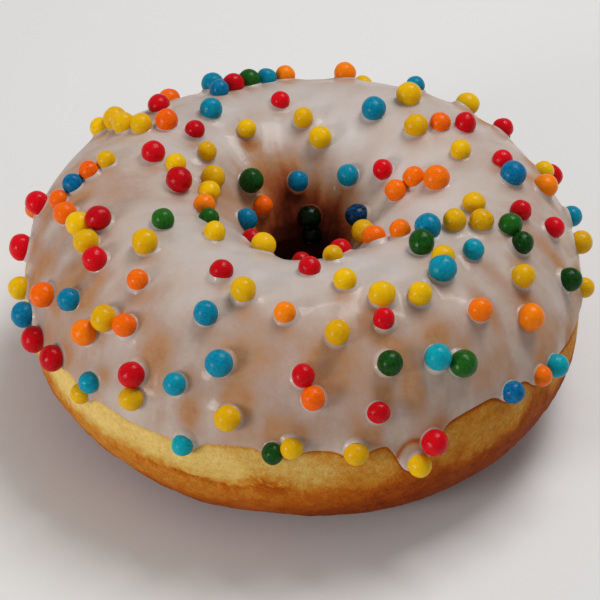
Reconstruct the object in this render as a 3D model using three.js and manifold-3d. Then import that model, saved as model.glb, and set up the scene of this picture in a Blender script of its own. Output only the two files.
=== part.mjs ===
// A ring doughnut with a thin white glaze and round sugar sprinkles.
// Millimetres, +Z up, standing on z = 0 with its hole round the Z axis.
// A place on the ring is two angles in degrees: azimuth round the hole (0 is +X, 90 is +Y), and
// climb round the section (0 is the outer side, 90 the crown, 180 the wall of the hole).
import * as THREE from "three";
import Module from "manifold-3d";
import { mergeVertices } from "three/addons/utils/BufferGeometryUtils.js";

// Driving dimensions of the glazed doughnut
const RING_RADIUS = 25.6; // from the hole's axis to the middle of the section
const HALF_WIDTH = 19.4;
const RISE = 20.55; // from the widest level up to the crown
const DROP = 18.3; // from the widest level down to the belly, before it flattens
const BELLY_SQUARENESS = 2.15; // exponent of the lower half's outline, 2 is an ellipse
const FOOT_FLAT = 0.8; // how far the belly is pressed flat where it stands
const BARE_INSET = 0.2; // the bare dough lies this far inside the glazed form
const WAIST_HEIGHT = DROP - BARE_INSET - FOOT_FLAT; // the widest level, above the table
const RING_CENTRE = [0.5, 0.5]; // of the hole, from the middle of the whole outline

const GLAZE = 1.0; // thickness
const GLAZE_GAP = 0.3; // the glaze's solid stands this far off the dough's
const GLAZE_ROUNDING = 1.6; // width over which the glaze's edge rounds down
const GLAZE_BED_MARGIN = 0.7; // the dough's bed for the glaze is wider by these degrees
const GLAZE_BED_SLOPE = 4; // degrees over which the dough rises from the bed to its bare face
const OUTER_EDGE = 11; // mean climb of the glaze's outer edge
const HOLE_EDGE = 167; // climb at which the glaze ends inside the hole

const SPRINKLE_RADIUS = 1.85;
const SPRINKLE_SPREAD = 0.14; // share by which radii differ
const FACET_GROWTH = 1.15; // a faceted ball with corners this much farther out is as big as a round one
const SPRINKLE_EDGE_CLEARANCE = 4; // least degrees from the glaze's edges
const ROW_EDGE_CLEARANCE = 0; // the same at the outer edge, for sprinkles in rows
const HOLE_MARGIN = 20; // least degrees from the glaze's edge in the hole, for loose sprinkles
const OVERHANG_REACH = 8; // nearer to the outer edge than these degrees, a sprinkle reaches over bare dough

// Facets
const AROUND = 60;
const FIRST_COLUMN = 3.5; // azimuth of one column of facets, so that another runs down the longest drip
const BARE_ROWS = 14;
const BED_ROWS = 12;
const GLAZE_ROWS = 14;
const MERGE_DISTANCE = 1e-3; // corners closer than this are one corner

// Slow unevenness of the outer wall: count of lobes, depth, and the azimuth of one lobe
const LOBES = [
  { count: 2, depth: 0.32, at: -6 },
  { count: 3, depth: 0.62, at: 45 },
  { count: 4, depth: 0.28, at: -33 },
  { count: 5, depth: 0.11, at: 1 },
];
// Waves of the glaze's outer edge: count, depth and crest, in degrees
const EDGE_WAVES = [
  { count: 3, depth: 4.5, at: 59 },
  { count: 5, depth: 1.8, at: 35 },
  { count: 8, depth: 1.5, at: 39 },
];
// Where the glaze has crept lower: azimuth, half width and drop, in degrees
const DRIPS = [
  { at: 291.5, halfWidth: 6, drop: 17 },
  { at: 20, halfWidth: 8, drop: 6 },
  { at: 74, halfWidth: 7, drop: 9 },
  { at: 132, halfWidth: 6, drop: 7 },
  { at: 165, halfWidth: 9, drop: 6 },
];

// Sprinkles in rows, most of them touching: colours, and [azimuth, climb] of the places the row runs through
const ROWS = [
  ["yyyyo", [149, 50], [148, 59], [151.5, 68], [151, 77], [146, 86]],
  ["yobo", [170, 72], [179, 50]],
  ["ryyr", [196, 69], [194, 60], [201, 60], [208, 59]],
  ["oyo", [219, 34], [222, 44], [227.5, 46.5]],
  ["yr", [168, 103], [180, 106]],
  ["yyyogy", [150, 111], [165, 120], [178, 120.5], [193.5, 117.5], [206, 116.5], [221, 111]],
  ["go", [140, 133], [140, 145]],
  ["brgbo", [118, 75], [96, 62]],
  ["ry", [272, 101], [284, 113]],
  ["gg", [84, 155], [80, 166]],
  ["ooo", [9, 123], [11.5, 113.5], [4, 104]],
  ["oo", [314, 120], [323, 111]],
  ["bg", [327, 99], [317, 94]],
  ["yby", [317, 82], [313, 77], [302, 71]],
  ["yr", [292, 76], [290, 65]],
  ["yy", [348, 87], [340, 81]],
  ["rb", [14, 71], [7, 69]],
  ["yo", [20, 40], [9, 50]],
  ["rgg", [352, 66], [344, 69], [340, 61]],
  ["yor", [40, 97], [33, 76]],
  ["bg", [299, 44], [304, 38]],
  ["ro", [270, 45], [272, 36]],
  ["ry", [234, 30], [235, 20]],
  ["by", [224, 16], [222, 7]],
  ["gy", [264.5, 8], [268, 15]],
  ["ry", [295, 11], [292, 2]],
  ["ob", [323, 8], [328, 12]],
  ["ybr", [190, 4], [204, 9]],
  ["byb", [252, 46], [255.5, 25], [247, 8]],
  ["yb", [280, 12], [314, 12]],
  ["oy", [265, 72], [278, 62]],
  ["yr", [252, 80], [242, 88]],
  ["gy", [206, 94], [214, 80]],
  ["rr", [143, 99], [166, 92]],
  ["ryo", [354, 48], [331, 53], [314, 54]],
  ["bb", [210, 39], [245, 65]],
];
const LOOSE_SPRINKLES = 54;
const TRIES_EACH = 9; // places weighed up for each loose sprinkle
const LOOSE_COLOURS = "yyyyrrooggb";
const SEED = 10502;

const COLOURS = { dough: 0xc98a45, icing: 0xe6dcd4 };

const rad = THREE.MathUtils.degToRad;
const wave = (degrees) => Math.cos(rad(degrees));
const mix = THREE.MathUtils.lerp;

// A stream of numbers from 0 to 1, the same each time
function* drawer(seed) {
  for (let state = seed; ; ) {
    state = (state * 1664525 + 1013904223) % 4294967296;
    yield state / 4294967296;
  }
}

// The glazed form's smooth section at a climb: its place from the section's middle, and its normal
function sectionAt(climb) {
  const [c, s] = [Math.cos(rad(climb)), Math.sin(rad(climb))];
  const power = s < 0 ? 2 / BELLY_SQUARENESS : 1;
  const height = s < 0 ? DROP : RISE;
  const out = HALF_WIDTH * Math.sign(c) * Math.abs(c) ** power;
  const up = height * Math.sign(s) * Math.abs(s) ** power;
  const normal = new THREE.Vector2(c / HALF_WIDTH, s / height).normalize();
  return { out, up, normal };
}

// The point at a place on the ring, a depth inside the glazed form
function ringPoint(azimuth, climb, depth = 0) {
  const { out, up, normal } = sectionAt(climb);
  const swell = LOBES.reduce((sum, lobe) => sum + lobe.depth * wave(lobe.count * (azimuth - lobe.at)), 0);
  const proud = (swell * (1 + wave(climb))) / 2 - depth;
  const reach = RING_RADIUS + out + proud * normal.x;
  const height = Math.max(0, WAIST_HEIGHT + up + proud * normal.y);
  return new THREE.Vector3(
    RING_CENTRE[0] + reach * Math.cos(rad(azimuth)),
    RING_CENTRE[1] + reach * Math.sin(rad(azimuth)),
    height,
  );
}

// The climb of the glaze's outer edge at an azimuth
function outerEdge(azimuth) {
  const waves = EDGE_WAVES.reduce((sum, w) => sum + w.depth * wave(w.count * (azimuth - w.at)), 0);
  const drips = DRIPS.reduce((sum, drip) => {
    const away = THREE.MathUtils.euclideanModulo(azimuth - drip.at + 180, 360) - 180;
    const share = Math.min(1, Math.abs(away) / drip.halfWidth);
    return sum + (drip.drop * (1 + Math.cos(Math.PI * share))) / 2;
  }, 0);
  return OUTER_EDGE + waves - drips;
}

// A closed surface from a grid of points, joined up both round the hole and round the section.
// Rows from returning on come back under the others, so their faces are split the other way to match.
function closedRing(rows, pointAt, returning = rows) {
  const positions = [];
  const faces = [];
  for (let column = 0; column < AROUND; column++) {
    const [here, next] = [column * rows, ((column + 1) % AROUND) * rows];
    for (let row = 0; row < rows; row++) {
      const after = (row + 1) % rows;
      positions.push(...pointAt(FIRST_COLUMN + (360 * column) / AROUND, row));
      const [a, b, c, d] = [here + row, next + row, next + after, here + after];
      faces.push(...(row < returning ? [a, b, c, a, c, d] : [a, b, d, b, c, d]));
    }
  }
  const geometry = new THREE.BufferGeometry();
  geometry.setAttribute("position", new THREE.Float32BufferAttribute(positions, 3));
  return geometry.setIndex(faces);
}

// The dough: bare from the hole down round the belly to the outer edge, then the glaze's bed;
// with a clearance it is the form that nothing else may enter
function doughGeometry(clearance = 0) {
  return closedRing(BARE_ROWS + BED_ROWS + 1, (azimuth, row) => {
    const [low, high] = [outerEdge(azimuth) - GLAZE_BED_MARGIN, HOLE_EDGE + GLAZE_BED_MARGIN];
    if (row <= BED_ROWS) {
      return ringPoint(azimuth, mix(low, high, row / BED_ROWS), GLAZE + GLAZE_GAP - clearance);
    }
    const share = (row - BED_ROWS - 1) / (BARE_ROWS - 1);
    const climb = mix(high + GLAZE_BED_SLOPE, low - GLAZE_BED_SLOPE + 360, share);
    return ringPoint(azimuth, climb, BARE_INSET - clearance);
  });
}

// The glaze: over its face from the outer edge into the hole, and back under itself
function glazeGeometry() {
  const pointAt = (azimuth, row) => {
    const edge = outerEdge(azimuth);
    if (row > GLAZE_ROWS) {
      return ringPoint(azimuth, mix(HOLE_EDGE, edge, (row - GLAZE_ROWS) / BED_ROWS), GLAZE);
    }
    const share = (1 - Math.cos((Math.PI * row) / GLAZE_ROWS)) / 2;
    const fromEdge = RISE * rad((HOLE_EDGE - edge) * Math.min(share, 1 - share));
    const short = Math.max(0, 1 - fromEdge / GLAZE_ROUNDING);
    return ringPoint(azimuth, mix(edge, HOLE_EDGE, share), GLAZE * (1 - Math.sqrt(1 - short ** 2)));
  };
  return closedRing(GLAZE_ROWS + BED_ROWS, pointAt, GLAZE_ROWS);
}

// Places, sizes and colours of all sprinkles: the rows first, then loose ones where there is most room
function sprinkles() {
  const numbers = drawer(SEED);
  const draw = () => numbers.next().value;
  const placed = [];
  const place = (azimuth, wantedClimb, colour, clearance) => {
    const lowest = outerEdge(azimuth) + clearance;
    const climb = THREE.MathUtils.clamp(wantedClimb, lowest, HOLE_EDGE - SPRINKLE_EDGE_CLEARANCE);
    const radius = SPRINKLE_RADIUS * (1 + SPRINKLE_SPREAD * (2 * draw() - 1));
    const centre = ringPoint(azimuth, climb, GLAZE - radius * FACET_GROWTH);
    placed.push({ azimuth, climb, colour, radius, centre });
  };
  for (const [colours, ...path] of ROWS) {
    [...colours].forEach((colour, index) => {
      const along = (index / (colours.length - 1)) * (path.length - 1);
      const leg = Math.min(Math.floor(along), path.length - 2);
      const [from, to] = path.slice(leg);
      const [azimuth, climb] = [0, 1].map((axis) => mix(from[axis], to[axis], along - leg));
      place(azimuth, climb, colour, ROW_EDGE_CLEARANCE);
    });
  }
  for (let count = 0; count < LOOSE_SPRINKLES; count++) {
    let best = { room: 0 };
    for (let tries = 0; tries < TRIES_EACH; tries++) {
      const azimuth = 360 * draw();
      const climb = mix(outerEdge(azimuth), HOLE_EDGE - HOLE_MARGIN, draw());
      const centre = ringPoint(azimuth, climb, -SPRINKLE_RADIUS);
      const room = Math.min(...placed.map((other) => other.centre.distanceTo(centre)));
      if (room > best.room) {
        best = { room, azimuth, climb };
      }
    }
    const colour = LOOSE_COLOURS[Math.floor(draw() * LOOSE_COLOURS.length)];
    place(best.azimuth, best.climb, colour, SPRINKLE_EDGE_CLEARANCE);
  }
  return placed;
}

// A faceted ball with its poles along the surface's normal
function sprinkleGeometry({ azimuth, climb, radius, centre }) {
  const ball = new THREE.IcosahedronGeometry(radius * FACET_GROWTH);
  const normal = ringPoint(azimuth, climb, -1).sub(ringPoint(azimuth, climb)).normalize();
  const turn = new THREE.Quaternion().setFromUnitVectors(new THREE.Vector3(0, 1, 0), normal);
  return ball.applyQuaternion(turn).translate(...centre);
}

const wasm = await Module();
wasm.setup();

function solidFrom(geometry) {
  const bare = geometry.clone().deleteAttribute("normal").deleteAttribute("uv");
  const merged = mergeVertices(bare, MERGE_DISTANCE);
  const vertProperties = merged.attributes.position.array;
  const triVerts = new Uint32Array(merged.index.array);
  return new wasm.Manifold(new wasm.Mesh({ numProp: 3, vertProperties, triVerts }));
}

function geometryFrom(solid) {
  const { vertProperties, triVerts } = solid.getMesh();
  const geometry = new THREE.BufferGeometry();
  geometry.setAttribute("position", new THREE.BufferAttribute(vertProperties, 3));
  geometry.setIndex(new THREE.BufferAttribute(triVerts, 1));
  geometry.computeVertexNormals();
  return geometry;
}

// The glaze with every sprinkle fused to it, and those at its outer edge cut clear of the bare dough
function icingGeometry() {
  const keptClear = solidFrom(doughGeometry(GLAZE_GAP));
  const balls = sprinkles().map((sprinkle) => {
    const ball = solidFrom(sprinkleGeometry(sprinkle));
    const overhangs = sprinkle.climb < outerEdge(sprinkle.azimuth) + OVERHANG_REACH;
    return overhangs ? ball.subtract(keptClear) : ball;
  });
  const whole = balls.reduce((sum, ball) => sum.add(ball), solidFrom(glazeGeometry()));
  return geometryFrom(whole);
}

function named(name, geometry, color, roughness) {
  const mesh = new THREE.Mesh(geometry, new THREE.MeshStandardMaterial({ color, roughness, metalness: 0 }));
  mesh.name = name;
  return mesh;
}

const doughnut = new THREE.Group();
doughnut.add(named("dough", doughGeometry(), COLOURS.dough, 0.7));
doughnut.add(named("icing", icingGeometry(), COLOURS.icing, 0.35));

export default doughnut;
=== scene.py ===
"""A ring doughnut dressed over its solids: fried crust, thin white glaze and round sugar sprinkles.

A place on the ring is two angles in degrees: azimuth round the hole (0 is +X, 90 is +Y), and
climb round the section (0 is the outer side, 90 the crown, 180 the wall of the hole). A field is a
value at each point of a mesh that its finish reads: browning of the dough, thinness of the glaze
(1 is bare) and a sprinkle's place between its dark and light colours. Each of these also carries
painted shade in places."""

import math

import bmesh
import bpy
import numpy as np
from mathutils import Matrix, Vector, noise


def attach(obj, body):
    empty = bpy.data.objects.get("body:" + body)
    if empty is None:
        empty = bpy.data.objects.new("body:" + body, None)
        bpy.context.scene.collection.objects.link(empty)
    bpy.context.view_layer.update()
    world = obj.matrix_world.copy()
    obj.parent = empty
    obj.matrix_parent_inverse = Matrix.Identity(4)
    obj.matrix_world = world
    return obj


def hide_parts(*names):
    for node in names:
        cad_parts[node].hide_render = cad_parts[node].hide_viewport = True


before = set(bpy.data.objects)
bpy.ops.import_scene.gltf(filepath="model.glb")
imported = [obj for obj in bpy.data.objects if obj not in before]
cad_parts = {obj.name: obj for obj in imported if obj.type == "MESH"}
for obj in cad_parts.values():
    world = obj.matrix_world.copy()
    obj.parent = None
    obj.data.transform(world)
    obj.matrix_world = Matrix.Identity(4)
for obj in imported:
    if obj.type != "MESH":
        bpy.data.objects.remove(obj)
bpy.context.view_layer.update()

MM = 0.001

# The glazed ring, as its solids have it
RING_RADIUS = 25.6 * MM  # from the hole's axis to the middle of the section
HALF_WIDTH = 19.4 * MM
RISE = 20.55 * MM  # from the widest level up to the crown
DROP = 18.3 * MM  # from the widest level down to the belly, before it flattens
BELLY_SQUARENESS = 2.15  # exponent of the lower half's outline, 2 is an ellipse
FOOT_FLAT = 0.8 * MM  # how far the belly is pressed flat where it stands
BARE_INSET = 0.2 * MM  # the bare dough's solid lies this far inside the glazed form
WAIST_HEIGHT = DROP - BARE_INSET - FOOT_FLAT  # the widest level, above the table
RING_CENTRE = np.array([0.5 * MM, 0.5 * MM])  # of the hole, from the middle of the whole outline
GLAZE = 1.0 * MM  # thickness
OUTER_EDGE = 11  # mean climb of the glaze's outer edge
HOLE_EDGE = 167  # climb at which the glaze ends inside the hole
CROWN = 90
UNDERSIDE = 270
SPRINKLE_RADIUS = 1.85 * MM
SPRINKLE_SPREAD = 0.14  # share by which radii differ
FACET_GROWTH = 1.15  # a solid's faceted ball has its corners this much farther out
SPRINKLE_EDGE_CLEARANCE = 4  # least degrees from the glaze's edges
ROW_EDGE_CLEARANCE = 0  # the same at the outer edge, for sprinkles in rows
HOLE_MARGIN = 20  # least degrees from the glaze's edge in the hole, for loose sprinkles

# Slow unevenness of the outer wall: count of lobes, depth, and the azimuth of one lobe
LOBES = [(2, 0.32 * MM, -6), (3, 0.62 * MM, 45), (4, 0.28 * MM, -33), (5, 0.11 * MM, 1)]
# Waves of the glaze's outer edge: count, depth and crest, in degrees
EDGE_WAVES = [(3, 4.5, 59), (5, 1.8, 35), (8, 1.5, 39)]
# Where the glaze has crept lower: azimuth, half width and drop, in degrees
DRIPS = [(291.5, 6, 17), (20, 8, 6), (74, 7, 9), (132, 6, 7), (165, 9, 6)]

# Sprinkles in rows: colours, and (azimuth, climb) of the places the row runs through
ROWS = [
    ("yyyyo", (149, 50), (148, 59), (151.5, 68), (151, 77), (146, 86)),
    ("yobo", (170, 72), (179, 50)),
    ("ryyr", (196, 69), (194, 60), (201, 60), (208, 59)),
    ("oyo", (219, 34), (222, 44), (227.5, 46.5)),
    ("yr", (168, 103), (180, 106)),
    ("yyyogy", (150, 111), (165, 120), (178, 120.5), (193.5, 117.5), (206, 116.5), (221, 111)),
    ("go", (140, 133), (140, 145)),
    ("brgbo", (118, 75), (96, 62)),
    ("ry", (272, 101), (284, 113)),
    ("gg", (84, 155), (80, 166)),
    ("ooo", (9, 123), (11.5, 113.5), (4, 104)),
    ("oo", (314, 120), (323, 111)),
    ("bg", (327, 99), (317, 94)),
    ("yby", (317, 82), (313, 77), (302, 71)),
    ("yr", (292, 76), (290, 65)),
    ("yy", (348, 87), (340, 81)),
    ("rb", (14, 71), (7, 69)),
    ("yo", (20, 40), (9, 50)),
    ("rgg", (352, 66), (344, 69), (340, 61)),
    ("yor", (40, 97), (33, 76)),
    ("bg", (299, 44), (304, 38)),
    ("ro", (270, 45), (272, 36)),
    ("ry", (234, 30), (235, 20)),
    ("by", (224, 16), (222, 7)),
    ("gy", (264.5, 8), (268, 15)),
    ("ry", (295, 11), (292, 2)),
    ("ob", (323, 8), (328, 12)),
    ("ybr", (190, 4), (204, 9)),
    ("byb", (252, 46), (255.5, 25), (247, 8)),
    ("yb", (280, 12), (314, 12)),
    ("oy", (265, 72), (278, 62)),
    ("yr", (252, 80), (242, 88)),
    ("gy", (206, 94), (214, 80)),
    ("rr", (143, 99), (166, 92)),
    ("ryo", (354, 48), (331, 53), (314, 54)),
    ("bb", (210, 39), (245, 65)),
]
LOOSE_SPRINKLES = 54
TRIES_EACH = 9  # places weighed up for each loose sprinkle
LOOSE_COLOURS = "yyyyrrooggb"
SEED = 10502

# Relief of the bare dough: its pale band, the crust below it, and folds where the crust stands out
GLAZE_OVERLAP = 4  # degrees of bare dough that run on under the glaze
BAND_INSET = 0.32 * MM  # how far the pale band lies inside the glazed form
BED_INSET = 0.6 * MM  # and the dough under the glaze
BULGE_REACH = 2.6  # half width, in degrees, of the glaze's bulge round a sprinkle at its edge
BULGE_DROP = 5.4  # how far below such a sprinkle's middle the glaze reaches, in degrees
HUMPS = 9 * MM  # size of the dough's slow unevenness
HUMP_HEIGHT = 0.16 * MM
BUMPS = 1.6 * MM  # size of the crust's fine unevenness
BUMP_HEIGHT = 0.06 * MM
BUMP_START = (-3, 3)  # degrees below the crust's edge over which that sets in
CRUST_STREAKS = (1.1, 5)  # width and length, in degrees
CRUST_LINE = -10.5  # mean climb of the band's lower edge, where the crust starts
CRUST_WAVES = [(3, 1.0, 85), (5, 0.7, 20), (11, 0.6, 14)]  # count, depth and crest, in degrees
# Where the crust comes up higher into the band: azimuth, half width and height, in degrees
CRUST_RISES = [
    (292, 9, 9),
    (324, 9, 16),
    (263, 6, 2.5),
    (240, 12, -2),
    (203, 12, 7),
    (60, 9, 8),
    (118, 6, 7),
]
RAGGEDNESS = (2.0, 0.6, 0.8)  # degrees by which humps, bumps and streaks shift the crust's edge
HOLE_CRUST = 172  # climb at which the crust starts inside the hole
LIP = 0.12 * MM  # how proud the crust stands below its edge
FOLD_LIP = 0.3 * MM  # and how much more it does at a fold
LIP_START = (0.5, 4)  # degrees below the crust's edge over which the lip rises
LIP_END = (70, 30)  # and over which it is level again
FOLD_DEPTH = 0.28 * MM
FOLD_GROOVE = (1.2, 0.9)  # a fold's middle and half width, in degrees below the crust's edge
FOLDS = [(250, 12), (84, 22), (150, 13), (20, 10)]  # azimuth and reach of each, in degrees
SCAR = (263, -6, 5.5, 3.5)  # a rough fried patch: azimuth, climb and half sizes, in degrees
SCAR_EDGE = (1.3, 0.5)  # shares of those sizes over which it sets in
SCAR_RAGGEDNESS = 0.35  # share of those sizes by which bumps move its edge
SCAR_ROUGHNESS = 0.12 * MM
FLAKES = (0.1, 0.16)  # the level of the bumps at which the scar flakes, and its half width

# Browning of the dough. A step is where it starts and ends, in degrees below the crust's edge, and
# the browning that it adds
PALEST_BROWNING = 0.12
HUMP_BROWNING = 0.08
BAND_STEP = (-9, 0, 0.15)
EDGE_STEP = (-4.5, 4.5, 0.20)
EDGE_STEP_STREAKS = 1.5  # degrees by which streaks shift it
UPPER_STEP = (3, 30, 0.18)
LOWER_STEP = (26, 50, 0.25)
STEP_BUMPS = 3  # degrees by which bumps shift those two
# painted shade: darkening in a fold's groove
FOLD_PAINTED_SHADE = 0.17
SCAR_BROWNING = 0.08
FLAKE_PALENESS = 0.22
SIDE_PAINTED_SHADE = 0.2  # browning of one side, a painted shade
SIDE_PAINTED_SHADE_AT = 335  # azimuth of that side
# Where the dough is browner: azimuth, half width and how much
TANS = [(279, 12, 0.12), (305, 14, 0.1), (236, 24, -0.06)]
# Where the band fades most softly: azimuth, half width and how much more softly
BLUR = (279, 11, 0.9)
EDGE_PAINTED_SHADOW = 0.42  # browning of the dough right under the glaze's edge, a painted shadow
EDGE_PAINTED_SHADOW_AT = 318  # azimuth where that is strongest
EDGE_PAINTED_SHADOW_LEAST = 0.3  # share of it on the opposite side
EDGE_PAINTED_SHADOW_REACH = 0.7  # degrees
DARKEST_CRUST = 0.8
HOLE_BROWNING_AND_SHADE = 1.2  # browning of the crust inside the hole, deepened past the crust's own colour into painted shade
HOLE_BROWNING_AND_SHADE_END = (215, 180)  # climbs over which that fades out under the ring

# Relief of the glaze
EDGE_DROP = 0.75 * MM  # how much lower the glaze's face lies at its very edge
EDGE_ROUNDING = 0.9 * MM  # width over which it rounds up from there
EDGE_CROWDING = 0.35  # how much closer the glaze's rows stand at its edges
GLAZE_WAVES = 7 * MM  # size of the slow waves
GLAZE_WAVE_HEIGHT = 0.1 * MM
RIDGES = 0.4 * MM  # height of the folds that run into the hole
RIDGE_START = (112, 150)  # climbs over which they rise
STREAKS = (22, 70)  # width and length, in degrees, of the wide streaks
TONGUES = (11, 50)  # of the narrower ones
GRAIN = (4, 30)  # and of the finest
MOUND_RISE = 0.3 * MM  # glaze heaped up round a sprinkle
MOUND_REACH = 1.3 * MM
COLLAR_RISE = (0.08 * MM, 0.55 * MM)  # least and most height of glaze drawn up a sprinkle's side
COLLAR_RISE_ODDS = (1.2, 2.4)  # shape of the draw between them, which favours low ones
COLLAR_TILT = (0.2, 0.9)  # least and most share by which a collar is higher on one side
COLLAR_REACH = 0.75 * MM
COLLAR_EVENNESS = 0.75  # share of that reach all round
COLLAR_LEAN = 0.35  # share that is added on the higher side and taken off opposite
COLLAR_SINK = 0.05 * MM  # how far a collar's outer rim dips into the glaze
COLLAR_BITE = 0.16 * MM  # how far its inner rim reaches into the sprinkle
COLLAR_WHITENESS = 0.7  # share of the glaze's thinness that a collar loses at the sprinkle
COLLAR_WHITENESS_END = (160, 138)  # climbs over which collars in the hole lose it
NEIGHBOURHOOD = 9 * MM  # how far a sprinkle changes the glaze round it
DRIP_SWELL = 0.35 * MM  # how proud a long drip stands
DRIP_SWELL_EDGE = (1.25, 0.4)  # shares of the drip's size over which it swells
LONG_DRIP = 17  # drop of a long drip, in degrees; a shorter one swells in proportion
DRIP_SHARE = 0.62  # of a drip's half width and drop, taken by the seam over it
SEAM_DEPTH = 0.12 * MM
SEAM_WIDTH = 0.13  # as a share of the drip's size
SEAM_START = (-0.1, 0.5)  # how far over the drip's middle the seam sets in, as shares
DRIP_CROWDING = 2.5  # how much closer the glaze's columns stand at the long drip
DRIP_CROWDING_REACH = 9  # degrees

# Thinness of the glaze
CROWN_THINNESS = 0.12
WAVE_THINNESS = 0.05
SIDE_START = (100, 50)  # climbs over which it gets thinner down its outer side
SIDE_THINNESS = 0.2
VEILS = 10 * MM  # size of the parts of that side where it ran thinner still
VEIL_EDGE = (-0.3, 0.9)  # levels of their unevenness between which they set in
VEIL_THINNESS = 0.14
GRAIN_THINNESS = 0.07
# Painted shadow beside each sprinkle, drawn as thinner glaze: towards -Y, or up and round low on
# the side
PAINTED_SHADOW_SHIFT = 2.4 * MM
PAINTED_SHADOW_REACH = 1.8 * MM
PAINTED_SHADOW_STRENGTH = 0.17
PAINTED_SHADOW_UNEVENNESS = 0.6  # share by which slow waves change that
LOW_CLIMB = 55  # climb below which a sprinkle is low on the side
THINNEST_CROWN = 0.6  # how thin the glaze gets outside the hole
# Down the wall of the hole, thinner glaze and painted shade, most of all on one side of it
SHADED_WALL_AT = 83  # azimuth of that side
SHADED_WALL_NARROWNESS = 2.6  # exponent of how it fades round the hole
WALL_START = (107, 154)  # climbs over which the glaze gets thinner and takes on painted shade
WALL_SHIFTS = (5, 3)  # degrees by which streaks and tongues shift them
LATE_WALL_AT = 20  # azimuth where the glaze gets thin farther in
LATE_WALL_EDGE = (0.1, 0.9)  # cosines of the angle from there between which that sets in
LATE_WALL_SHIFT = 10  # degrees farther in
WALL_THINNESS = 0.12
SHADED_WALL_THINNESS = 0.78
LOW_WALL_START = (140, 164)  # climbs over which it gets thinner and darker still with painted shade, on most of the wall
LOW_WALL_EDGE = (-0.4, 0.6)  # cosines of the angle from the shaded side between which that sets in
LOW_WALL_THINNESS_AND_SHADE = 0.25
THINNEST_GLAZE = 0.95  # how thin it gets in the hole
LAST_START = (155, 166)  # climbs over which that limit rises near its end
LAST_THINNESS = 0.12  # and by how much
# At a drip
# the seam's darker line is thinner glaze and painted shade
SEAM_THINNESS_AND_SHADE = 0.4
DRIP_EDGE = (1.05, 0.7)  # shares of the drip's size over which its own thinness sets in
DRIP_TOP_THINNESS = 0.25  # how much thinner it gets from a drip's middle to its top
DRIP_THICKNESS = 0.12  # and how much thicker all of it is
# At a thin place: how far waves and grain ruffle its edge, and how fast it fades there
SPOT_WAVES = 0.3
SPOT_GRAIN = 0.25
SPOT_FADE = 1.2
# Thin places: azimuth, climb, half length down the slope, half width and how thin
THIN_SPOTS = [
    # the next three are painted shade, not thin glaze: broad darker places on the crown and front
    (184, 88, 8.0 * MM, 8.0 * MM, 0.24),
    (30, 96, 9.0 * MM, 8.0 * MM, 0.07),
    (256, 48, 7.0 * MM, 5.5 * MM, 0.24),
    (51, 117, 3.6 * MM, 1.8 * MM, 0.1),
    (123, 114, 3.4 * MM, 2.4 * MM, 0.26),
    (168, 127, 4.6 * MM, 9.0 * MM, 0.27),
    (148, 105, 2.8 * MM, 2.2 * MM, 0.16),
    (113, 101, 2.0 * MM, 2.6 * MM, 0.16),
    # painted shade, not thin glaze, over the middle of the front
    (280, 62, 6.5 * MM, 12.0 * MM, 0.1),
    (193, 30, 6.5 * MM, 2.6 * MM, 0.22),
    (206, 34, 6.0 * MM, 1.8 * MM, 0.24),
    (213, 44, 5.5 * MM, 1.6 * MM, 0.2),
    (182, 58, 2.5 * MM, 1.2 * MM, 0.3),
    (236, 42, 4.4 * MM, 2.6 * MM, 0.3),
    (247, 23, 2.8 * MM, 2.0 * MM, 0.36),
    (266, 21, 3.4 * MM, 3.2 * MM, 0.36),
    (275, 47, 3.4 * MM, 3.0 * MM, 0.24),
    (287, 66, 2.6 * MM, 2.4 * MM, 0.2),
    (293, 32, 5.0 * MM, 1.8 * MM, 0.34),
    (302, 54, 2.2 * MM, 4.0 * MM, 0.28),
    (317, 52, 3.6 * MM, 1.4 * MM, 0.32),
    (328, 34, 5.4 * MM, 2.6 * MM, 0.38),
    (326, 64, 3.2 * MM, 1.3 * MM, 0.12),
    (347, 48, 5.0 * MM, 1.8 * MM, 0.28),
    (338, 10, 2.4 * MM, 1.6 * MM, 0.4),
    (20, 34, 5.0 * MM, 2.6 * MM, 0.3),
    (60, 42, 4.6 * MM, 2.4 * MM, 0.34),
    (96, 32, 3.6 * MM, 3.0 * MM, 0.34),
    (128, 48, 4.4 * MM, 1.8 * MM, 0.28),
    (152, 34, 4.8 * MM, 2.2 * MM, 0.32),
]

# How fine the meshes are
DOUGH_AROUND = 500
BARE_ROWS = 180
ROW_CROWDING = 0.5  # how much closer the dough's rows stand at its band than on average
BED_ROWS = 16
GLAZE_AROUND = 680
GLAZE_ROWS = 138
COLUMN_TRIES = 20  # places looked at for each of the glaze's columns
UNDER_ROWS = 8
FIRST_UNDER_ROW = 4
COLLAR_AROUND = 36
COLLAR_ROWS = 7
BALL_FINENESS = 4

# The sprinkles' own unevenness
BALL_SQUASH = 0.055  # most share by which a ball is longer or shorter along an axis
DENT_DEPTH = 0.04  # as a share of its radius
DENTS_ACROSS = 1.3  # dents along that radius
BALL_TONES = (0.33, 0.95)  # least and most, from its dark colour to its light one
SHADE_START = (135, 160)  # climbs over which sprinkles in the hole get darker, a painted shade

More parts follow.
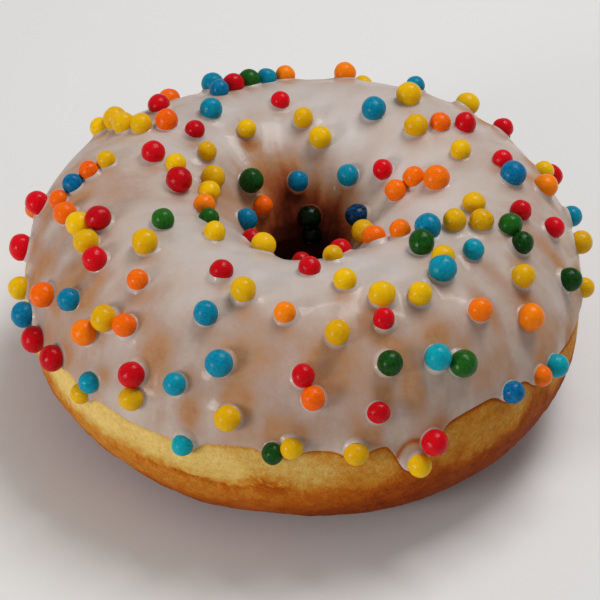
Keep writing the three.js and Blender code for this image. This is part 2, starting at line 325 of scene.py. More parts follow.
# Colours, as linear red, green and blue: by browning, by thinness, and light and dark for sprinkles
CRUST_COLOURS = [
    (0.0, (0.81, 0.58, 0.19)),
    (0.2, (0.65, 0.41, 0.10)),
    (0.38, (0.57, 0.228, 0.022)),
    (0.55, (0.46, 0.108, 0.004)),
    (0.75, (0.29, 0.044, 0.001)),
    (0.9, (0.17, 0.026, 0.001)),
    # the near-black last stop, reached mostly inside the hole, is painted shade more than crust
    (1.0, (0.045, 0.008, 0.001)),
]
GLAZE_COLOURS = [
    (0.0, (0.68, 0.635, 0.60)),
    (0.12, (0.58, 0.51, 0.47)),
    (0.3, (0.515, 0.405, 0.34)),
    (0.42, (0.455, 0.31, 0.24)),
    (0.6, (0.45, 0.23, 0.11)),
    (0.76, (0.37, 0.105, 0.03)),
    # the darkest stops, reached down the wall of the hole, are partly painted shade
    (0.88, (0.25, 0.043, 0.009)),
    (1.0, (0.07, 0.009, 0.002)),
]
SPRINKLE_COLOURS = {
    "r": ("sprinkle_red", (0.72, 0.002, 0.010), (0.50, 0.001, 0.005)),
    "y": ("sprinkle_yellow", (0.88, 0.53, 0.002), (0.70, 0.36, 0.001)),
    "o": ("sprinkle_orange", (0.98, 0.25, 0.002), (0.88, 0.10, 0.001)),
    "g": ("sprinkle_green", (0.020, 0.15, 0.012), (0.003, 0.035, 0.004)),
    "b": ("sprinkle_blue", (0.002, 0.37, 0.43), (0.001, 0.105, 0.29)),
}
SPRINKLE_SHADE = 0.12  # share of its dark colour that a sprinkle keeps in the deepest painted shade

# The camera, the table and the light
IMAGE_SIDE = 600
SENSOR_WIDTH = 36
CAMERA_HEIGHT_ANGLE = 38
CAMERA_DISTANCE = 405 * MM
FOCAL_PIXELS = 2506
WAIST_PIXEL = (304.2, 288.4)  # where the ring's middle, at its widest level, is in the picture
CAMERA_ROLL = 0.69
FLOOR_REACH = 2.0
FLOOR_COLOUR = (0.80, 0.795, 0.785)
SKY_COLOUR = (1.0, 1.0, 1.0)
SKY_STRENGTH = 0.31
# Name, place, side and watts
LAMPS = [
    ("key", (0.16, 0.15, 0.51), 0.24, 1.75),
    ("side", (-0.47, -0.37, 0.165), 0.17, 1.55),
]


# --- The ring's form --------------------------------------------------------


def wave(degrees):
    """The cosine of an angle in degrees."""
    return np.cos(np.radians(degrees))


def smooth(low, high, value):
    """0 below low, 1 above high, and an even slope between them."""
    share = np.clip((value - low) / (high - low), 0, 1)
    return share * share * (3 - 2 * share)


def hump(distance):
    """1 at a distance of 0, and less and less on both sides of it."""
    return np.exp(-(distance**2))


def turn_between(azimuth, other):
    """The signed angle from other to azimuth, the short way round."""
    return (azimuth - other + 180) % 360 - 180


def facing(azimuth, side):
    """1 at one side's azimuth, and 0 opposite."""
    return (1 + wave(azimuth - side)) / 2


def drawer(seed):
    """A stream of numbers from 0 to 1, the same each time."""
    multiplier, increment, size = 1664525, 1013904223, 2**32
    state = seed
    while True:
        state = (state * multiplier + increment) % size
        yield state / size


def section_at(climb):
    """The glazed form's smooth section: out and up from its middle, and its normal."""
    c, s = wave(climb), np.sin(np.radians(climb))
    power = np.where(s < 0, 2 / BELLY_SQUARENESS, 1.0)
    height = np.where(s < 0, DROP, RISE)
    out = HALF_WIDTH * np.sign(c) * np.abs(c) ** power
    up = height * np.sign(s) * np.abs(s) ** power
    length = np.hypot(c / HALF_WIDTH, s / height)
    return out, up, c / HALF_WIDTH / length, s / height / length


def ring_points(azimuth, climb, depth=0.0):
    """Points at places on the ring, a depth inside the glazed form."""
    out, up, normal_out, normal_up = section_at(climb)
    swell = sum(size * wave(count * (azimuth - at)) for count, size, at in LOBES)
    proud = swell * (1 + wave(climb)) / 2 - depth
    reach = RING_RADIUS + out + proud * normal_out
    height = np.maximum(0, WAIST_HEIGHT + up + proud * normal_up)
    across = RING_CENTRE[0] + reach * wave(azimuth)
    along = RING_CENTRE[1] + reach * np.sin(np.radians(azimuth))
    return np.stack([across, along, height + 0 * reach], axis=-1)


def outer_edge(azimuth):
    """The climb of the glaze's outer edge."""
    edge = OUTER_EDGE + sum(depth * wave(count * (azimuth - at)) for count, depth, at in EDGE_WAVES)
    for at, half_width, drop in DRIPS:
        share = np.minimum(1, np.abs(turn_between(azimuth, at)) / half_width)
        edge = edge - drop * (1 + np.cos(math.pi * share)) / 2
    return edge


def place_sprinkles():
    """Every sprinkle's colour, place, radius and centre: rows first, then loose ones."""
    numbers = drawer(SEED)
    placed = []

    def place(azimuth, wanted_climb, colour, clearance):
        lowest = float(outer_edge(azimuth)) + clearance
        climb = min(max(wanted_climb, lowest), HOLE_EDGE - SPRINKLE_EDGE_CLEARANCE)
        radius = SPRINKLE_RADIUS * (1 + SPRINKLE_SPREAD * (2 * next(numbers) - 1))
        centre = ring_points(azimuth, climb, GLAZE - radius * FACET_GROWTH)
        sprinkle = {"colour": colour, "azimuth": azimuth, "climb": climb}
        placed.append(sprinkle | {"radius": radius, "centre": centre})

    for colours, *path in ROWS:
        for index, colour in enumerate(colours):
            along = index / (len(colours) - 1) * (len(path) - 1)
            leg = min(int(along), len(path) - 2)
            ends = zip(path[leg], path[leg + 1])
            azimuth, climb = (start + (end - start) * (along - leg) for start, end in ends)
            place(azimuth, climb, colour, ROW_EDGE_CLEARANCE)
    for _ in range(LOOSE_SPRINKLES):
        most_room, spot = 0, None
        centres = np.array([sprinkle["centre"] for sprinkle in placed])
        for _ in range(TRIES_EACH):
            azimuth = 360 * next(numbers)
            low = float(outer_edge(azimuth))
            climb = low + (HOLE_EDGE - HOLE_MARGIN - low) * next(numbers)
            gaps = np.linalg.norm(centres - ring_points(azimuth, climb, -SPRINKLE_RADIUS), axis=1)
            if gaps.min() > most_room:
                most_room, spot = gaps.min(), (azimuth, climb)
        colour = LOOSE_COLOURS[int(next(numbers) * len(LOOSE_COLOURS))]
        place(*spot, colour, SPRINKLE_EDGE_CLEARANCE)
    return placed


# --- Unevenness and meshes --------------------------------------------------


def lumps(points, size, seed, octaves=2):
    """Soft unevenness from about -1 to 1 at points, with humps of about a given size."""
    shift = Vector((seed * 17.3, seed * 5.1, seed * 9.7))
    fall, finer, strength = 0.9, 2.0, 1.6
    spots = [Vector(point) / size + shift for point in points.reshape(-1, 3)]
    values = np.array([noise.fractal(spot, fall, finer, octaves) for spot in spots])
    return np.clip(values * strength, -1, 1).reshape(points.shape[:-1])


def streaked(azimuth, climb, width, length, seed, octaves=2):
    """Unevenness drawn out along the section, in streaks of a given width and length in degrees."""
    turns = 180 / math.pi / width
    around = [turns * wave(azimuth), turns * np.sin(np.radians(azimuth))]
    return lumps(np.stack([*around, climb / length], axis=-1), 1.0, seed, octaves)


def grid_faces(around, rows, closed=True):
    """Four-sided faces of a grid that is closed along its columns, and along its rows if asked."""
    strips = rows if closed else rows - 1
    column, row = np.meshgrid(np.arange(around), np.arange(strips), indexing="ij")
    next_column, next_row = (column + 1) % around, (row + 1) % rows
    near, far = column * rows, next_column * rows
    corners = [near + row, far + row, far + next_row, near + next_row]
    return np.stack(corners, axis=-1).reshape(-1, 4)


def mesh_piece(name, points, faces, finish, fields):
    """A smooth mesh that rides on the doughnut, with a value at each point for every field."""
    mesh = bpy.data.meshes.new(name)
    mesh.from_pydata(np.asarray(points).reshape(-1, 3).tolist(), [], faces.tolist())
    mesh.shade_smooth()
    for field, values in fields.items():
        attribute = mesh.attributes.new(field, "FLOAT", "POINT")
        attribute.data.foreach_set("value", np.ravel(values).astype(np.float32))
    mesh.materials.append(finish)
    piece = bpy.data.objects.new(name, mesh)
    bpy.context.scene.collection.objects.link(piece)
    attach(piece, "root")
    return piece


# --- Finishes ---------------------------------------------------------------


class Value:
    """A value in a finish, which plain sums can use."""

    def __init__(self, finish, socket):
        self.finish = finish
        self.socket = socket

    def sum(self, operation, *terms):
        return self.finish.node("ShaderNodeMath", {"operation": operation}, dict(enumerate(terms)))

    def __add__(self, other):
        return self.sum("ADD", self, other)

    def __sub__(self, other):
        return self.sum("SUBTRACT", self, other)

    def __rsub__(self, other):
        return self.sum("SUBTRACT", other, self)

    def __mul__(self, other):
        return self.sum("MULTIPLY", self, other)

    __radd__ = __add__
    __rmul__ = __mul__


class Finish:
    """A material round one Principled shader, whose sockets take constants or values."""

    def __init__(self, name, **constants):
        self.material = bpy.data.materials.new(name)
        self.material.use_nodes = True
        self.tree = self.material.node_tree
        self.surface = self.tree.nodes["Principled BSDF"]
        self.give(**constants)

    def give(self, **values):
        """Feeds the shader's own sockets, named with _ for each space."""
        for socket, value in values.items():
            self.feed(self.surface.inputs[socket.replace("_", " ")], value)

    def feed(self, socket, value):
        if isinstance(value, Value):
            self.tree.links.new(value.socket, socket)
        elif isinstance(value, tuple) and len(value) == 3 and socket.type == "RGBA":
            socket.default_value = (*value, 1)
        else:
            socket.default_value = value

    def node(self, kind, settings=(), values=(), result=0):
        """Adds a node: its settings first, then its sockets' values or links."""
        node = self.tree.nodes.new(kind)
        for setting, value in dict(settings).items():
            if setting == "stops":
                for place, colour in value[len(node.color_ramp.elements) :]:
                    node.color_ramp.elements.new(place)
                for element, (place, colour) in zip(node.color_ramp.elements, value):
                    element.position, element.color = place, (*colour, 1)
            else:
                setattr(node, setting, value)
        for socket, value in dict(values).items():
            self.feed(node.inputs[socket], value)
        return Value(self, node.outputs[result])

    def place(self):
        return self.node("ShaderNodeTexCoord", result="Object")

    def field(self, name):
        return self.node("ShaderNodeAttribute", {"attribute_name": name}, result="Fac")

    def grain(self, size, detail, roughness):
        """Cloudy noise from 0 to 1, with clouds of about a given size in metres."""
        values = {"Vector": self.place(), "Scale": 1 / size}
        values |= {"Detail": detail, "Roughness": roughness}
        return self.node("ShaderNodeTexNoise", {}, values, "Fac")

    def cells(self, size):
        """Distance from the middle of each of many small cells, as a share of their size."""
        values = {"Vector": self.place(), "Scale": 1 / size}
        return self.node("ShaderNodeTexVoronoi", {}, values, "Distance")

    def slope(self, value, low, high):
        """0 below low and 1 above high."""
        values = {"Value": value, "From Min": low, "From Max": high}
        return self.node("ShaderNodeMapRange", {"interpolation_type": "SMOOTHSTEP"}, values)

    def ramp(self, value, stops):
        return self.node("ShaderNodeValToRGB", {"stops": stops}, {"Fac": value}, "Color")

    def relief(self, height, depth):
        """Feeds a height field, a share of depth in metres, to the surface's normal."""
        self.give(Normal=self.node("ShaderNodeBump", {}, {"Height": height, "Distance": depth}))


def crust_finish():
    """Fried dough: a pale, finely pored band, crust that darkens towards the underside, and painted
    shade.
    """
    finish = Finish("crust", Specular_IOR_Level=0.07, Subsurface_Weight=0.05, Subsurface_Scale=1.0)
    finish.give(Subsurface_Radius=(0.003, 0.0014, 0.0006))
    blotches = finish.grain(size=3.2 * MM, detail=4, roughness=0.6)
    speckle = finish.grain(size=0.9 * MM, detail=4, roughness=0.7)
    grit = finish.grain(size=0.3 * MM, detail=2, roughness=0.6)
    pores = finish.slope(finish.cells(size=0.8 * MM), low=0.2, high=0.04)
    browning = finish.field("browning") + 0.3 * (blotches - 0.5) + 0.4 * (speckle - 0.5)
    browning = browning + 0.25 * (grit - 0.5) - 0.05 * pores
    finish.give(Base_Color=finish.ramp(browning, CRUST_COLOURS), Roughness=0.55 + 0.25 * blotches)
    finish.relief(speckle + 0.3 * grit - 0.4 * pores, depth=0.25 * MM)
    return finish.material


def glaze_finish():
    """Set sugar glaze: white where it is thick, tan where the crust shows through, and painted
    shade.
    """
    finish = Finish("glaze", Specular_IOR_Level=0.2, Subsurface_Weight=0.12, Subsurface_Scale=1.0)
    finish.give(Subsurface_Radius=(0.0018, 0.0012, 0.0009), Coat_Roughness=0.1)
    clouds = finish.grain(size=4.5 * MM, detail=4, roughness=0.55)
    fine = finish.grain(size=1.5 * MM, detail=3, roughness=0.55)
    flakes = finish.grain(size=0.7 * MM, detail=4, roughness=0.7)
    thin = finish.field("thin")
    flaky = 0.48 * thin * (1.1 - thin)
    streaky = 0.05 + 0.14 * thin
    thin = thin + 0.16 * (clouds - 0.5) + streaky * (fine - 0.5) + flaky * (flakes - 0.5)
    bare = finish.slope(thin, low=0.35, high=0.7)
    finish.give(Base_Color=finish.ramp(thin, GLAZE_COLOURS))
    finish.give(Roughness=0.28 + 0.2 * clouds + 0.4 * bare)
    finish.give(Coat_Weight=(0.1 + 0.2 * clouds) * (1 - bare))
    finish.relief(fine, depth=0.03 * MM)
    return finish.material


def sprinkle_finish(name, light, dark):
    """A sugar ball's smooth, faintly mottled colour, a little different from ball to ball, with
    painted shade.
    """
    finish = Finish(name, Specular_IOR_Level=0.13)
    mottle = finish.grain(size=0.5 * MM, detail=3, roughness=0.65)
    tone = finish.field("tone") + 0.8 * (mottle - 0.5)
    shaded = tuple(SPRINKLE_SHADE * channel for channel in dark)
    colours = finish.ramp(tone, [(0, shaded), (0.3, dark), (1, light)])
    finish.give(Base_Color=colours, Roughness=0.1 + 0.18 * mottle)
    finish.relief(mottle, depth=0.06 * MM)
    return finish.material


# --- Dough ------------------------------------------------------------------


def glaze_rim(azimuth, sprinkles):
    """The glaze's outer edge, where it also bulges down round the sprinkles that lie at it."""
    rim = outer_edge(azimuth)
    for sprinkle in sprinkles:
        drop = np.maximum(0, rim - sprinkle["climb"] + BULGE_DROP)
        rim = rim - drop * hump(turn_between(azimuth, sprinkle["azimuth"]) / BULGE_REACH)
    return rim


def crust_line(azimuth):
    """The climb of the crust's edge, below the pale band."""
    line = CRUST_LINE + sum(size * wave(count * (azimuth - at)) for count, size, at in CRUST_WAVES)
    for at, half_width, height in CRUST_RISES:
        line = line + height * smooth(1, 0, np.abs(turn_between(azimuth, at)) / half_width)
    return line


def scarred(azimuth, climb, small):
    """How much of the scar there is at each place, and how much of that has flaked."""
    at, at_climb, half_width, half_height = SCAR
    across, down = turn_between(azimuth, at) / half_width, (climb - 360 - at_climb) / half_height
    scar = smooth(*SCAR_EDGE, np.hypot(across, down) + SCAR_RAGGEDNESS * small)
    level, half_width = FLAKES
    return scar, scar * hump((small - level) / half_width)


def gained(step, below, blur=1.0):
    """The browning that a step adds at a place below the crust's edge."""
    start, end, browning = step
    return browning * smooth(start * blur, end * blur, below)


def dough_face(azimuth, climb, rim):
    """How far the bare dough's face lies inside the glazed form, and how brown it is, with painted
    shade.
    """
    even = ring_points(azimuth, climb)
    big, small = lumps(even, HUMPS, seed=1), lumps(even, BUMPS, seed=2, octaves=3)
    streaks = streaked(azimuth, climb, *CRUST_STREAKS, seed=8)
    outside = climb > UNDERSIDE
    below = np.where(outside, crust_line(azimuth) - (climb - 360), climb - HOLE_CRUST)
    shifts = zip(RAGGEDNESS, (big, small, streaks))
    below = below + sum(degrees * unevenness for degrees, unevenness in shifts)

    folds = sum(hump(turn_between(azimuth, at) / reach) for at, reach in FOLDS)
    lip = (LIP + FOLD_LIP * folds) * smooth(*LIP_START, below) * smooth(*LIP_END, below) * outside
    groove_at, groove_width = FOLD_GROOVE
    groove = folds * hump((below - groove_at) / groove_width) * outside
    scar, flakes = scarred(azimuth, climb, small)
    depth = BAND_INSET - lip + FOLD_DEPTH * groove - HUMP_HEIGHT * big
    depth = depth - BUMP_HEIGHT * small * smooth(*BUMP_START, below)
    depth = depth - SCAR_ROUGHNESS * (scar * small + flakes)

    blur_at, blur_width, blur = BLUR
    soft = 1 + blur * hump(turn_between(azimuth, blur_at) / blur_width)
    browning = PALEST_BROWNING + HUMP_BROWNING * big + gained(BAND_STEP, below, soft)
    browning = browning + gained(EDGE_STEP, below + EDGE_STEP_STREAKS * streaks, soft)
    for step in (UPPER_STEP, LOWER_STEP):
        browning = browning + gained(step, below + STEP_BUMPS * small)
    # painted shade in the folds' grooves
    browning = browning + FOLD_PAINTED_SHADE * groove + SCAR_BROWNING * scar - FLAKE_PALENESS * flakes
    # painted shade on one side of the band and crust
    browning = browning + SIDE_PAINTED_SHADE * facing(azimuth, SIDE_PAINTED_SHADE_AT) ** 2
    for at, half_width, more in TANS:
        browning = browning + more * hump(turn_between(azimuth, at) / half_width)
    # painted shadow on the dough under the glaze's edge
    side = EDGE_PAINTED_SHADOW_LEAST + (1 - EDGE_PAINTED_SHADOW_LEAST) * facing(azimuth, EDGE_PAINTED_SHADOW_AT) ** 4
    browning = browning + EDGE_PAINTED_SHADOW * side * np.exp(-np.abs(climb - 360 - rim) / EDGE_PAINTED_SHADOW_REACH)
    # inside the hole the crust is browned past its own colour into painted shade
    hole_browning_and_shade = HOLE_BROWNING_AND_SHADE * smooth(*HOLE_BROWNING_AND_SHADE_END, climb) * (climb > CROWN)
    return depth, np.maximum(np.minimum(browning, DARKEST_CRUST), hole_browning_and_shade)


def dough_ring(sprinkles, finish):
    """The whole dough: bare from the hole down round the belly, and lower under the glaze."""
    azimuth = np.linspace(0, 360, DOUGH_AROUND, endpoint=False)[:, None]
    rim = glaze_rim(azimuth, sprinkles)
    share = np.linspace(0, 1, BARE_ROWS)
    share = share + ROW_CROWDING * share * (1 - share)
    bare = HOLE_EDGE - GLAZE_OVERLAP + (rim + 360 + 2 * GLAZE_OVERLAP - HOLE_EDGE) * share
    share = np.linspace(0, 1, BED_ROWS + 2)[1:-1]
    bed = rim + GLAZE_OVERLAP + (HOLE_EDGE - rim - 2 * GLAZE_OVERLAP) * share
    climb = np.concatenate([bare, bed], axis=1)
    azimuth = azimuth + 0 * climb
    depth, browning = dough_face(azimuth, climb, rim)
    depth[:, BARE_ROWS:] = BED_INSET
    points = ring_points(azimuth, climb, depth)
    faces = grid_faces(DOUGH_AROUND, BARE_ROWS + BED_ROWS)[:, ::-1]
    piece = mesh_piece("dough_ring", points, faces, finish, {"browning": browning})
    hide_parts("dough")


# --- Glaze ------------------------------------------------------------------


def painted_shadow_of(sprinkle):
    """The middle of the painted shadow beside a sprinkle."""
    azimuth, climb = sprinkle["azimuth"], sprinkle["climb"]
    low = climb < LOW_CLIMB
    around = math.sqrt(0.5) if low else -wave(azimuth)
    upwards = math.sqrt(0.5) if low else math.sin(math.radians(azimuth))
    out = RING_RADIUS + section_at(climb)[0]
    azimuth = azimuth + math.degrees(PAINTED_SHADOW_SHIFT * around / out)
    return ring_points(azimuth, climb + math.degrees(PAINTED_SHADOW_SHIFT * upwards / HALF_WIDTH))


def beside_sprinkles(even, sprinkles):
    """How high the glaze is heaped up by sprinkles, and how far into their painted shadow a place
    is.
    """
    mound, painted_shadow = np.zeros(even.shape[:-1]), np.zeros(even.shape[:-1])
    for sprinkle in sprinkles:
        gap = np.linalg.norm(even - sprinkle["centre"], axis=-1) - sprinkle["radius"]
        mound = np.maximum(mound, MOUND_RISE * hump(np.maximum(0, gap) / MOUND_REACH))
        apart = np.linalg.norm(even - painted_shadow_of(sprinkle), axis=-1)
        painted_shadow = np.maximum(painted_shadow, hump(apart / PAINTED_SHADOW_REACH))
    return mound, painted_shadow


def thin_spots(azimuth, climb, ruffle):
    """How much thinner the glaze is at the thin places."""
    thin = 0
    for at, at_climb, half_length, half_width, thinness in THIN_SPOTS:
        radius = RING_RADIUS + HALF_WIDTH * wave(at_climb)
        across = np.radians(turn_between(azimuth, at)) * radius / half_width
        down = np.radians(climb - at_climb) * HALF_WIDTH / half_length
        apart = np.maximum(0, np.hypot(across, down) + ruffle)
        thin = thin + thinness * np.exp(-SPOT_FADE * apart**2)
    return thin


def thin_and_shaded_wall(azimuth, climb, streaks, tongues):
    """How much thinner the glaze is down the wall of the hole, with painted shade in its depths."""
    by_streaks, by_tongues = WALL_SHIFTS
    late = LATE_WALL_SHIFT * smooth(*LATE_WALL_EDGE, wave(azimuth - LATE_WALL_AT))
    inwards = smooth(*WALL_START, climb + by_streaks * streaks + by_tongues * tongues - late)
    shaded_side = facing(azimuth, SHADED_WALL_AT) ** SHADED_WALL_NARROWNESS
    low_side = smooth(*LOW_WALL_EDGE, wave(azimuth - SHADED_WALL_AT))
    low = LOW_WALL_THINNESS_AND_SHADE * smooth(*LOW_WALL_START, climb) * low_side
    return (WALL_THINNESS + SHADED_WALL_THINNESS * shaded_side) * inwards + low


def at_drips(azimuth, climb):
    """How proud the glaze stands at its drips, and how much thinner it is there, with painted shade
    at each seam.
    """
    lift, thin = 0, 0
    for at, half_width, drop in DRIPS:
        middle = float(outer_edge(at)) + drop * (1 - DRIP_SHARE)
        across = turn_between(azimuth, at) / (half_width * DRIP_SHARE)
        down = (climb - middle) / (drop * DRIP_SHARE)
        apart = np.hypot(across, down)
        size = drop / LONG_DRIP
        seam = hump((apart - 1) / SEAM_WIDTH) * smooth(*SEAM_START, down)
        lift = lift + size * (DRIP_SWELL * smooth(*DRIP_SWELL_EDGE, apart) - SEAM_DEPTH * seam)
        on_drip = smooth(*DRIP_EDGE, apart) * (DRIP_TOP_THINNESS * down - DRIP_THICKNESS)
        # thinner glaze and painted shade along the seam
        thin = thin + size * (SEAM_THINNESS_AND_SHADE * seam + on_drip)
    return lift, thin


def glaze_face(azimuth, climb, sprinkles):
    """How far the glaze's face stands proud of its even form, and how thin it is, with painted
    shade.
    """
    even = ring_points(azimuth, climb)
    waves = lumps(even, GLAZE_WAVES, seed=4)
    veil = smooth(*VEIL_EDGE, lumps(even, VEILS, seed=6))
    streaks = streaked(azimuth, climb, *STREAKS, seed=5, octaves=3)
    tongues = streaked(azimuth, climb, *TONGUES, seed=11)
    grain = streaked(azimuth, climb, *GRAIN, seed=9, octaves=3)
    mound, painted_shadow = beside_sprinkles(even, sprinkles)
    drip_lift, drip_thinness = at_drips(azimuth, climb)
    ridges = RIDGES * streaks * smooth(*RIDGE_START, climb)
    lift = GLAZE_WAVE_HEIGHT * waves + ridges + mound + drip_lift

    down_side = SIDE_THINNESS + VEIL_THINNESS * veil + GRAIN_THINNESS * grain
    thin = CROWN_THINNESS + smooth(*SIDE_START, climb) * down_side + WAVE_THINNESS * waves
    thin = thin + thin_spots(azimuth, climb, SPOT_WAVES * waves + SPOT_GRAIN * grain)
    # painted shadow beside the sprinkles, added to the glaze's thinness
    thin = thin + PAINTED_SHADOW_STRENGTH * painted_shadow * (1 + PAINTED_SHADOW_UNEVENNESS * waves)
    # the hole's wall adds thinness and painted shade
    thin = np.minimum(THINNEST_CROWN, thin) + thin_and_shaded_wall(azimuth, climb, streaks, tongues)
    thinnest = THINNEST_GLAZE + LAST_THINNESS * smooth(*LAST_START, climb)
    return lift, np.minimum(thinnest, thin) + drip_thinness


def glaze_depth(climb, edge, lift):
    """How far the glaze's face lies inside the even form, rounded off at both its edges."""
    from_edge = RISE * np.radians(np.minimum(climb - edge, HOLE_EDGE - climb))
    short = np.clip(1 - from_edge / EDGE_ROUNDING, 0, 1)
    return EDGE_DROP * (1 - np.sqrt(1 - short**2)) - lift * (1 - short)


def glaze_columns():
    """The azimuth of each of the glaze's columns of points, which crowd at the long drip."""
    long_drip = DRIPS[0][0]
    fine = np.linspace(long_drip - 180, long_drip + 180, COLUMN_TRIES * GLAZE_AROUND)
    crowd = 1 + DRIP_CROWDING * hump((fine - long_drip) / DRIP_CROWDING_REACH)
    counted = np.cumsum(crowd) / crowd.sum()
    return np.interp(np.arange(GLAZE_AROUND) / GLAZE_AROUND, counted, fine)[:, None]


def glaze_coat(sprinkles, finish):
    """The glaze: its face from the outer edge into the hole, closed by a face in the dough."""
    azimuth = glaze_columns()
    edge = glaze_rim(azimuth, sprinkles)
    share = np.linspace(0, 1, GLAZE_ROWS)
    share = share - EDGE_CROWDING * np.sin(2 * math.pi * share) / (2 * math.pi)
    climb = edge + (HOLE_EDGE - edge) * share
    lift, thin = glaze_face(azimuth + 0 * climb, climb, sprinkles)
    under = climb[:, ::-1][:, FIRST_UNDER_ROW :: GLAZE_ROWS // UNDER_ROWS]
    face = ring_points(azimuth + 0 * climb, climb, glaze_depth(climb, edge, lift))
    inner = ring_points(azimuth + 0 * under, under, GLAZE)
    points = np.concatenate([face, inner], axis=1)
    fields = {"thin": np.concatenate([thin, 0 * under], axis=1)}
    piece = mesh_piece("icing_coat", points, grid_faces(*points.shape[:2]), finish, fields)
    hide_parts("icing")


def collars(sprinkles, finish):
    """The glaze drawn up round the foot of every sprinkle, white where it is thickest."""
    numbers = np.random.default_rng(SEED)
    turn = np.linspace(0, 2 * math.pi, COLLAR_AROUND, endpoint=False)[:, None]
    share = np.linspace(0, 1, COLLAR_ROWS)
    points, faces, thinness = [], [], []
    ring = grid_faces(COLLAR_AROUND, COLLAR_ROWS, closed=False)
    for index, sprinkle in enumerate(sprinkles):
        least, most = COLLAR_RISE
        rise = least + (most - least) * numbers.beta(*COLLAR_RISE_ODDS)
        lean, tilt = numbers.uniform(0, 2 * math.pi), numbers.uniform(*COLLAR_TILT)
        rise = rise * (1 + tilt * np.cos(turn - lean))
        radius = sprinkle["radius"]
        seat = radius * FACET_GROWTH - GLAZE - MOUND_RISE
        foot = np.sqrt(radius**2 - (seat - rise) ** 2) - COLLAR_BITE
        width = COLLAR_REACH * (COLLAR_EVENNESS + COLLAR_LEAN * np.cos(turn - lean))
        reach = foot + (COLLAR_BITE + width) * share
        out = RING_RADIUS + section_at(sprinkle["climb"])[0]
        azimuth = sprinkle["azimuth"] + np.degrees(reach * np.cos(turn) / out)
        climb = sprinkle["climb"] + np.degrees(reach * np.sin(turn) / HALF_WIDTH)
        edge = glaze_rim(azimuth, sprinkles)
        climb = np.clip(climb, edge, HOLE_EDGE)
        apart = [np.linalg.norm(other["centre"] - sprinkle["centre"]) for other in sprinkles]
        near = [other for other, gap in zip(sprinkles, apart) if gap < NEIGHBOURHOOD]
        lift, thin = glaze_face(azimuth, climb, near)
        height = (rise + COLLAR_SINK) * (1 - share) ** 2 - COLLAR_SINK * share
        depth = glaze_depth(climb, edge, lift) - height
        points.append(ring_points(azimuth, climb, depth).reshape(-1, 3))
        white = COLLAR_WHITENESS * smooth(*COLLAR_WHITENESS_END, sprinkle["climb"])
        thinness.append(np.ravel(thin * (1 - white * (1 - share) ** 2)))
        faces.append(ring + index * COLLAR_AROUND * COLLAR_ROWS)
    points, faces = np.concatenate(points), np.concatenate(faces)
    mesh_piece("icing_collars", points, faces, finish, {"thin": np.concatenate(thinness)})


# --- Sprinkles --------------------------------------------------------------


def sprinkle_balls(name, sprinkles, seed, finish):
    """All sprinkles of one colour, each a slightly uneven ball."""
    numbers = np.random.default_rng(seed)
    ball = bmesh.new()
    bmesh.ops.create_icosphere(ball, subdivisions=BALL_FINENESS, radius=1)
    ball.verts.ensure_lookup_table()
    shape = np.array([vertex.co for vertex in ball.verts])
    ball_faces = np.array([[vertex.index for vertex in face.verts] for face in ball.faces])
    ball.free()
    points, all_faces, tones_and_painted_shade = [], [], []
    for index, sprinkle in enumerate(sprinkles):
        shift = Vector((index, seed, 0.5))
        dents = np.array([noise.noise(Vector(point) * DENTS_ACROSS + shift) for point in shape])
        squash = 1 + numbers.uniform(-BALL_SQUASH, BALL_SQUASH, 3)
        uneven = shape * squash * (1 + DENT_DEPTH * dents)[:, None]
        points.append(sprinkle["centre"] + sprinkle["radius"] * uneven)
        all_faces.append(ball_faces + index * len(shape))
        # painted shade for sprinkles deep in the hole, taken off their colour
        shade = smooth(*SHADE_START, sprinkle["climb"])
        tones_and_painted_shade.append(np.full(len(shape), numbers.uniform(*BALL_TONES) - shade))
    points, faces = np.concatenate(points), np.concatenate(all_faces)
    mesh_piece(name, points, faces, finish, {"tone": np.concatenate(tones_and_painted_shade)})


# --- Table, camera and light ------------------------------------------------


def floor():
    """A plain pale table top."""
    finish = Finish("table", Roughness=0.85, Base_Color=FLOOR_COLOUR)
    mesh = bpy.data.meshes.new("table")
    signs = [(-1, -1), (1, -1), (1, 1), (-1, 1)]
    corners = [(FLOOR_REACH * x, FLOOR_REACH * y, 0) for x, y in signs]
    mesh.from_pydata(corners, [], [(0, 1, 2, 3)])
    mesh.materials.append(finish.material)
    table = bpy.data.objects.new("table", mesh)
    bpy.context.scene.collection.objects.link(table)


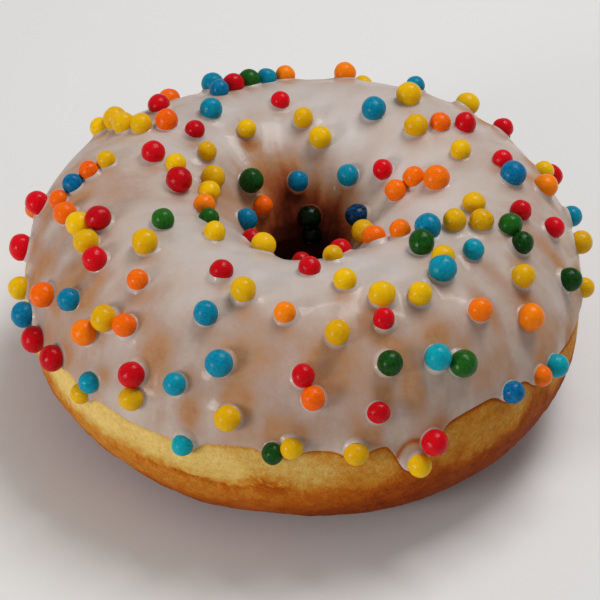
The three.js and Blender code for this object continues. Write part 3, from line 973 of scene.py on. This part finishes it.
def camera():
    """Looks at the ring's middle, which it holds a little off the picture's middle."""
    data = bpy.data.cameras.new("camera")
    data.sensor_width = SENSOR_WIDTH
    data.lens = FOCAL_PIXELS / IMAGE_SIDE * SENSOR_WIDTH
    eye = bpy.data.objects.new("camera", data)
    bpy.context.scene.collection.objects.link(eye)
    middle = Vector((*RING_CENTRE, WAIST_HEIGHT))
    height_angle = math.radians(CAMERA_HEIGHT_ANGLE)
    back = Vector((0, -math.cos(height_angle), math.sin(height_angle)))
    aim = (-back).to_track_quat("-Z", "Y").to_matrix().to_4x4()
    roll = Matrix.Rotation(math.radians(CAMERA_ROLL), 4, "Z")
    sideways = Matrix.Rotation((WAIST_PIXEL[0] - IMAGE_SIDE / 2) / FOCAL_PIXELS, 4, "Y")
    upwards = Matrix.Rotation((WAIST_PIXEL[1] - IMAGE_SIDE / 2) / FOCAL_PIXELS, 4, "X")
    place = Matrix.Translation(middle + back * CAMERA_DISTANCE)
    eye.matrix_world = place @ aim @ roll @ sideways @ upwards
    bpy.context.scene.camera = eye


def lamp(name, place, side, watts):
    """A square lamp that faces the doughnut."""
    data = bpy.data.lights.new(name, "AREA")
    data.size, data.energy = side, watts
    light = bpy.data.objects.new(name, data)
    light.location = place
    light.rotation_mode = "QUATERNION"
    towards = Vector((0, 0, WAIST_HEIGHT)) - light.location
    light.rotation_quaternion = towards.to_track_quat("-Z", "Y")
    bpy.context.scene.collection.objects.link(light)


def surroundings():
    """Even light from all round, under the lamps."""
    world = bpy.data.worlds.new("studio")
    bpy.context.scene.world = world
    world.use_nodes = True
    sky = world.node_tree.nodes["Background"]
    sky.inputs["Color"].default_value = (*SKY_COLOUR, 1)
    sky.inputs["Strength"].default_value = SKY_STRENGTH
    bpy.context.scene.view_settings.view_transform = "Standard"


sprinkles = place_sprinkles()
dough_ring(sprinkles, crust_finish())
glaze = glaze_finish()
glaze_coat(sprinkles, glaze)
collars(sprinkles, glaze)
for seed, (letter, (name, light, dark)) in enumerate(SPRINKLE_COLOURS.items()):
    matching = [sprinkle for sprinkle in sprinkles if sprinkle["colour"] == letter]
    sprinkle_balls(name, matching, seed, sprinkle_finish(name, light, dark))
floor()
camera()
surroundings()
for name, place, side, watts in LAMPS:
    lamp(name, place, side, watts)
